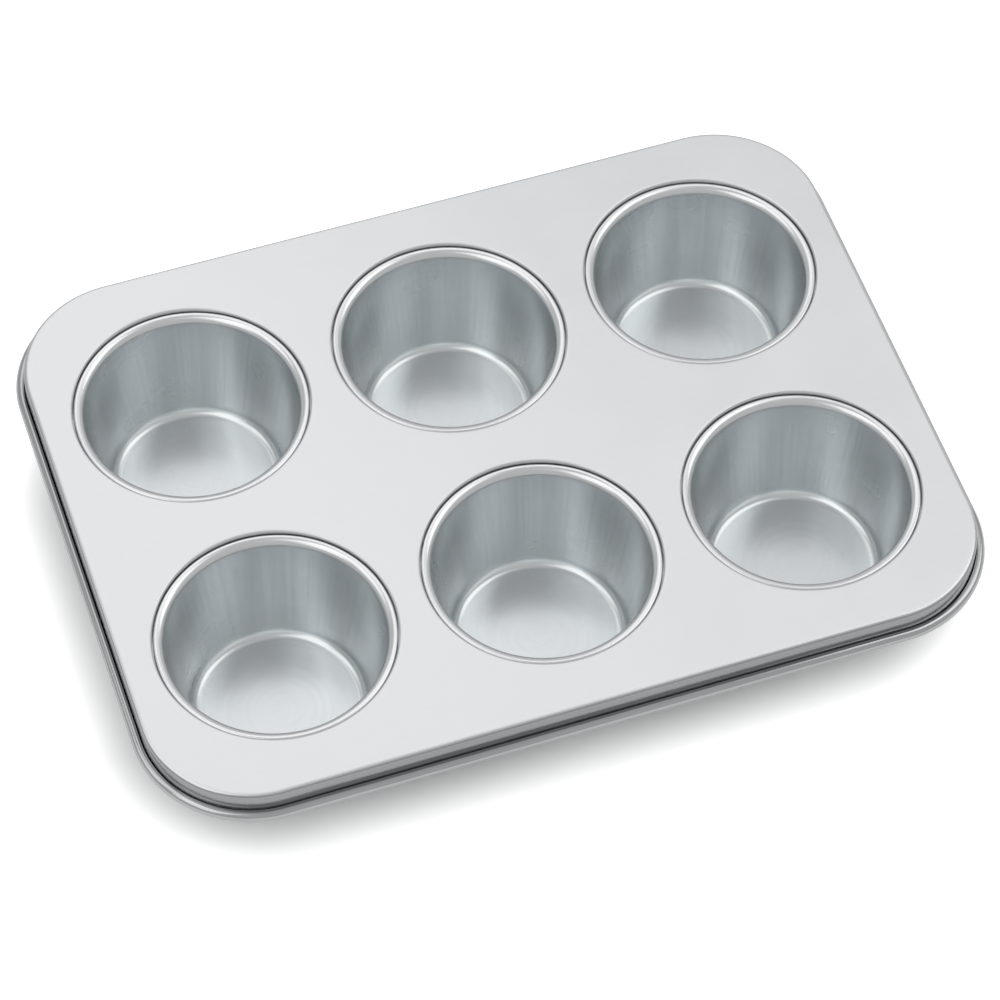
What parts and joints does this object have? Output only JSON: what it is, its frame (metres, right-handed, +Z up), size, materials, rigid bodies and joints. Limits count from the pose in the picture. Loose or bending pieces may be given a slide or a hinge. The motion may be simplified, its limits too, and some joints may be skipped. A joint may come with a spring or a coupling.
{
  "type": "jumbo muffin pan",
  "caption": "Steel muffin pan with large tapered cups lock seamed into a flat stamped frame, whose short skirt ends in a wired hem.",
  "frame": {"origin": "centre of the pan, on the surface that the cup bottoms stand on", "axes": "+X along the long side, +Y along the short side towards the rear row of cups, +Z up out of the cups"},
  "size_m": [0.358, 0.27, 0.055],
  "materials": {
    "frame": "satin aluminised steel sheet, fine straight grain",
    "cups": "satin aluminised steel, deep drawn, faint draw marks",
    "rim_wire": "plain drawn steel wire, hidden in the hem"
  },
  "bodies": {
    "root": {"frame": "frame", "rim_wire": "rim_wire", "cup_front_left": "cups", "cup_front_centre": "cups", "cup_front_right": "cups", "cup_rear_left": "cups", "cup_rear_centre": "cups", "cup_rear_right": "cups"}
  },
  "joints": []
}
